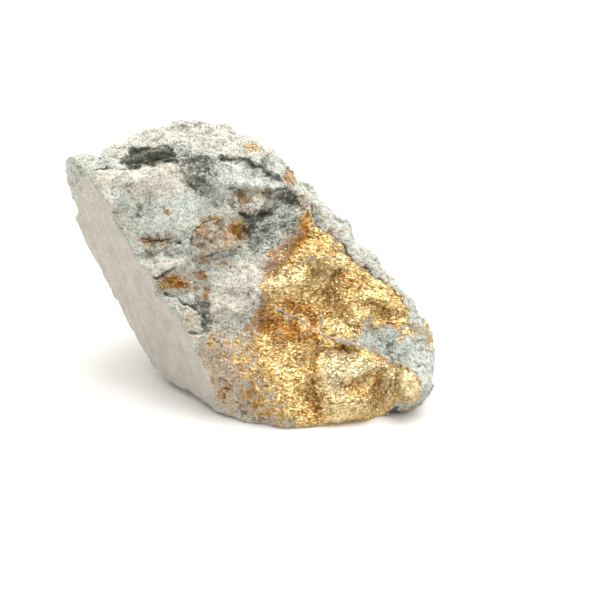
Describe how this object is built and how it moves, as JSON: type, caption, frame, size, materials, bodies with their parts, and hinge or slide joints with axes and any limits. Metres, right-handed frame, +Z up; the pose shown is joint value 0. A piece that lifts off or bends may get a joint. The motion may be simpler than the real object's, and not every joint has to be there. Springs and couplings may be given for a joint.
{
  "type": "gold ore specimen",
  "caption": "Hand-sized stone of grey-green schist and quartz with a crust of native gold on its broken slope, for display lying on its flat foot.",
  "frame": {"origin": "on the flat foot that the stone lies on, under the broken slope", "axes": "+X along the stone's long side, to the right as seen from the gold; +Y to the back, away from the gold; +Z up, square to the foot"},
  "size_m": [0.0759, 0.0603, 0.0449],
  "materials": {
    "gold_bearing_rock": "rough broken grey-green schist with white quartz, rust stains and a crust of bright native gold"
  },
  "bodies": {
    "root": {"gold_bearing_stone": "gold_bearing_rock"}
  },
  "joints": []
}
